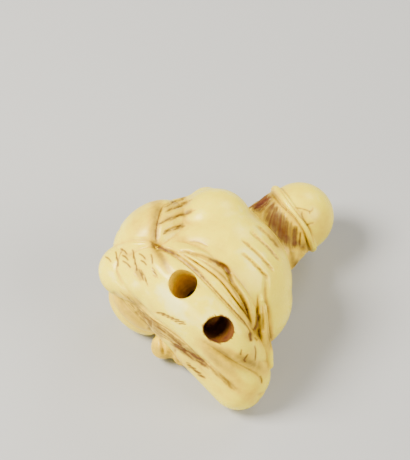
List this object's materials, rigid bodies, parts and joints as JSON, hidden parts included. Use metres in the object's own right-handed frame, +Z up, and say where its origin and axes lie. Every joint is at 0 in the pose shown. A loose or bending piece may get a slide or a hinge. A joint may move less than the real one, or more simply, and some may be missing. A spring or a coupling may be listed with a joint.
{
  "type": "netsuke",
  "caption": "Carved netsuke of a seated man in a robe and a soft cap, lying on its front, with a cord tunnel bored into its back.",
  "frame": {"origin": "middle of the base of the bounding box, on the surface that the figure lies on", "axes": "+Z up, out of the figure's back, +Y along its spine towards the cap, +X towards its right side"},
  "size_m": [0.0376, 0.045, 0.0273],
  "materials": {
    "ivory": "polished ivory with a yellow-brown stain in the cuts"
  },
  "bodies": {
    "root": {"netsuke_figure": "ivory"}
  },
  "joints": []
}
